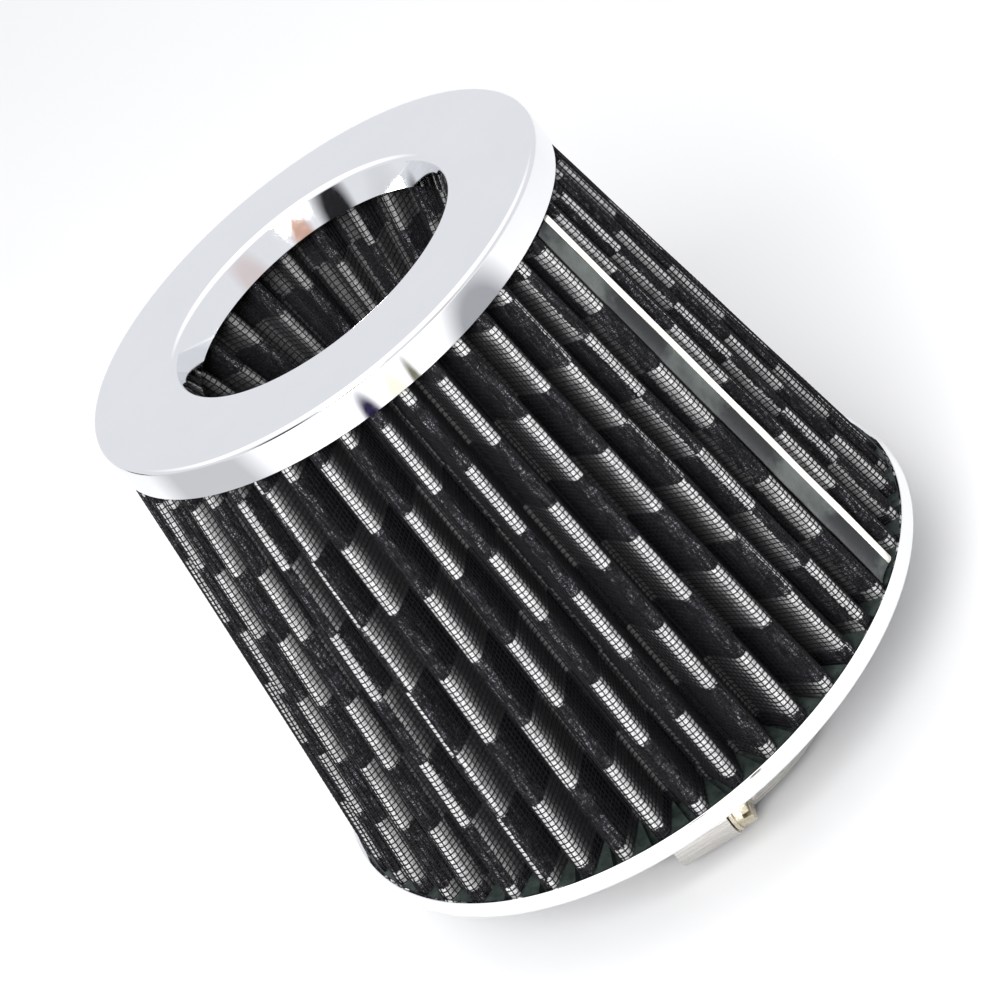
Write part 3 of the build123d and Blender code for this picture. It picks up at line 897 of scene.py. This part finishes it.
def film_section(down):
    """The film's section, a shallow channel between the last ridge and the bead."""
    t = np.linspace(0, 1, 9)
    drift = LEAN["rest"] * down
    turn = FILM_AZ[0] + (FILM_AZ[1] - FILM_AZ[0]) * t + drift
    dip = FILM_DIP * np.sin(t * math.pi)
    top = FILM_SHARE - dip
    low = top - FILM_T
    return np.concatenate([turn, turn[::-1]]), np.concatenate([top, low[::-1]])


def bead_section(middle_from, middle_to, half_width, shares):
    """A section that is round on top, for a bead whose middle drifts on its way down."""

    def section(down):
        t = np.linspace(0, 2 * math.pi, 14, endpoint=False)
        wander = BEAD_WANDER * math.sin(down * BEAD_WANDER_WAVES)
        middle = middle_from + (middle_to - middle_from) * down + wander
        width = half_width * (1 + BEAD_PULSE * math.sin(down * BEAD_PULSE_WAVES + 1))
        centre, reach = (shares[0] + shares[1]) / 2, (shares[1] - shares[0]) / 2
        return middle + width * np.cos(t), centre + reach * np.sin(t)

    return section


film_levels = levels_between(OUTER["heights"][2] - STRIP_END, OUTER["heights"][3] + STRIP_END, 40)
strip(
    "joint_film", film_section, film_levels, outer_radius, FILM, "filter", ["seam_film"], OUTER
)
bead_shape = bead_section(BEAD_AZ[0], BEAD_AZ[1], BEAD_HALF, BEAD_SHARE)
strip("joint_bead", bead_shape, film_levels, outer_radius, BEAD, "filter", ["seam_bead"], OUTER)

inner_bead_az = INNER["last"] - INNER["pitch"] * INNER_BEAD_RIDGE
inner_levels = levels_between(INNER["heights"][1] - STRIP_END, INNER["heights"][2] + STRIP_END, 24)
inner_bead_shape = bead_section(inner_bead_az, inner_bead_az, INNER_BEAD_HALF, INNER_BEAD_SHARE)
strip(
    "cone_bead",
    inner_bead_shape,
    inner_levels,
    inner_radius,
    BEAD,
    "filter",
    ["inner_cone_seam_bead"],
    INNER,
)

# ---------------------------------------------------------------- clamp

band_low, band_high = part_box("clamp_band")
band_in, band_out = band_high.x - BAND_T, band_high.x
band_outline = rounded(
    [
        (band_in, (band_low.z + band_high.z) / 2),
        (band_in, band_low.z),
        (band_out, band_low.z),
        (band_out, band_high.z),
        (band_in, band_high.z),
        (band_in, (band_low.z + band_high.z) / 2 + 0.1 * MM),
    ],
    [BAND_EASE] * 4,
    3,
)
add_object("band", lathe("band", band_outline, 360), BAND, "clamp", ["clamp_band"])
softened("clamp_housing", HOUSING_BEVEL, BAND, "clamp")
softened("clamp_tail", TAIL_BEVEL, BAND, "clamp_tail")
softened("clamp_screw", SCREW_BEVEL, SCREW, "clamp_screw")

# ---------------------------------------------------------------- studio

FLOOR_SIZE = 8
HORIZON = (0.485, 0.492, 0.512, 1)
SKY_STRENGTH = 1.75
CAMERA_LENS = 107.9
CAMERA_PLACE = (0.0005, -0.5748, 0.3859)
CAMERA_AXES = (  # across the picture, up it, and back to the camera
    (0.76776, -0.30391, -0.56407),
    (0.64073, 0.36416, 0.67590),
    (0.0, -0.88035, 0.47432),
)
KEY_PLACE, KEY_AIM, KEY_SIZE, KEY_POWER = (-0.35, -1.15, 0.95), (0, 0, 0.08), (0.7, 0.7), 30
CARD_SOFT_FROM = 0.25  # a card starts to fade this far from its centre, and ends at 0.5
RING_AIM = (0, -0.05, 0.14)
LIP_AIM = (0, 0.03, 0.143)
CARDS = (  # name, size, place, aim, colour and strength
    ("left_card", (0.40, 0.60), (-0.30, -0.02, 0.003), RING_AIM, (0.66, 0.67, 0.69), 1),
    ("violet_card", (0.06, 0.13), (-0.085, -0.33, 0.004), RING_AIM, (0.02, 0.012, 0.06), 1),
    ("cream_card", (0.07, 0.16), (-0.01, -0.33, 0.006), RING_AIM, (1.0, 0.98, 0.84), 1.15),
    ("olive_card", (0.03, 0.14), (0.035, -0.32, 0.008), RING_AIM, (0.22, 0.21, 0.15), 1),
    ("grey_card", (0.26, 0.20), (0.21, -0.24, 0.004), RING_AIM, (0.42, 0.43, 0.46), 1),
    ("dark_card", (0.34, 0.30), (-0.41, -0.37, 0.27), LIP_AIM, (0.02, 0.02, 0.022), 1),
    ("warm_card", (0.24, 0.30), (-0.18, -0.62, 0.32), LIP_AIM, (0.62, 0.36, 0.27), 1),
    ("pink_card", (0.36, 0.30), (0.35, -0.55, 0.30), LIP_AIM, (0.74, 0.66, 0.66), 1),
    ("low_dark_card", (0.30, 0.16), (-0.62, 0.42, 0.10), LIP_AIM, (0.03, 0.03, 0.035), 1),
)


def card(name, size, place, aim, color, strength):
    """An oval studio card with a soft edge that faces a point, and shows only in reflections."""
    bpy.ops.mesh.primitive_plane_add(size=1)
    plane = bpy.context.object
    plane.name = name
    plane.scale = (size[0], size[1], 1)
    plane.location = place
    direction = np.array(aim, float) - np.array(place, float)
    plane.rotation_euler = Matrix(look_rotation(direction)).to_euler()
    material = bpy.data.materials.new(name)
    material.use_nodes = True
    tree = material.node_tree
    tree.nodes.clear()
    glow = tree.nodes.new("ShaderNodeEmission")
    glow.inputs["Color"].default_value = (*color, 1)
    glow.inputs["Strength"].default_value = strength
    clear = tree.nodes.new("ShaderNodeBsdfTransparent")
    where = tree.nodes.new("ShaderNodeTexCoord")
    reach = tree.nodes.new("ShaderNodeVectorMath")
    reach.operation = "LENGTH"
    edge = tree.nodes.new("ShaderNodeMapRange")
    edge.inputs["From Min"].default_value = CARD_SOFT_FROM
    edge.inputs["From Max"].default_value = 0.5
    blend = tree.nodes.new("ShaderNodeMixShader")
    out = tree.nodes.new("ShaderNodeOutputMaterial")
    tree.links.new(where.outputs["Object"], reach.inputs[0])
    tree.links.new(reach.outputs["Value"], edge.inputs["Value"])
    tree.links.new(edge.outputs["Result"], blend.inputs[0])
    tree.links.new(glow.outputs[0], blend.inputs[1])
    tree.links.new(clear.outputs[0], blend.inputs[2])
    tree.links.new(blend.outputs[0], out.inputs[0])
    plane.data.materials.append(material)
    plane.visible_camera = False
    plane.visible_shadow = False
    plane.visible_diffuse = False
    plane.visible_transmission = False


def look_rotation(direction):
    """The rotation that turns a plane's normal along a direction."""
    z = direction / np.linalg.norm(direction)
    x = np.cross((0, 0, 1.0), z)
    x = x / np.linalg.norm(x) if np.linalg.norm(x) > 1e-6 else np.array((1.0, 0, 0))
    return np.stack([x, np.cross(z, x), z], 1).tolist()


def floor():
    bpy.ops.mesh.primitive_plane_add(size=FLOOR_SIZE)
    plane = bpy.context.object
    plane.name = "floor"
    paint = Paint("floor_paper")
    paint.color(paint.mix(paint.noise(4, 2), *PAPER_TONES))
    paint.roughness(paint.spread(paint.noise(9, 2), 0.8, 0.95))
    paint.shader.inputs["Specular IOR Level"].default_value = 0.1
    plane.data.materials.append(paint.material)


def area_light(name, place, aim, size, power):
    data = bpy.data.lights.new(name, "AREA")
    data.shape = "RECTANGLE"
    data.size, data.size_y = size
    data.energy = power
    lamp = bpy.data.objects.new(name, data)
    lamp.location = place
    away = np.array(place, float) - np.array(aim, float)
    lamp.rotation_euler = Matrix(look_rotation(away)).to_euler()
    bpy.context.scene.collection.objects.link(lamp)


def sky():
    """A pale studio all round, a little greyer towards the horizon."""
    world = bpy.data.worlds.new("studio")
    world.use_nodes = True
    tree = world.node_tree
    where = tree.nodes.new("ShaderNodeTexCoord")
    apart = tree.nodes.new("ShaderNodeSeparateXYZ")
    ramp = tree.nodes.new("ShaderNodeValToRGB")
    ramp.color_ramp.elements[0].position = 0.5
    ramp.color_ramp.elements[0].color = HORIZON
    ramp.color_ramp.elements[1].position = 0.95
    ramp.color_ramp.elements[1].color = (1, 1, 1, 1)
    tree.links.new(where.outputs["Generated"], apart.inputs[0])
    tree.links.new(apart.outputs["Z"], ramp.inputs[0])
    tree.links.new(ramp.outputs[0], tree.nodes["Background"].inputs["Color"])
    tree.nodes["Background"].inputs["Strength"].default_value = SKY_STRENGTH
    bpy.context.scene.world = world


def camera():
    """The camera looks down at the ring from the front, rolled so that the filter seems to lean."""
    data = bpy.data.cameras.new("camera")
    data.lens, data.sensor_width = CAMERA_LENS, 36
    data.clip_start, data.clip_end = 0.01, 50
    view = bpy.data.objects.new("camera", data)
    turned = Matrix(CAMERA_AXES).transposed().to_4x4()
    turned.translation = CAMERA_PLACE
    view.matrix_world = turned
    bpy.context.scene.collection.objects.link(view)
    bpy.context.scene.camera = view


floor()
sky()
camera()
area_light("key", KEY_PLACE, KEY_AIM, KEY_SIZE, KEY_POWER)
bpy.context.scene.view_settings.view_transform = "Standard"

for row in CARDS:
    card(*row)
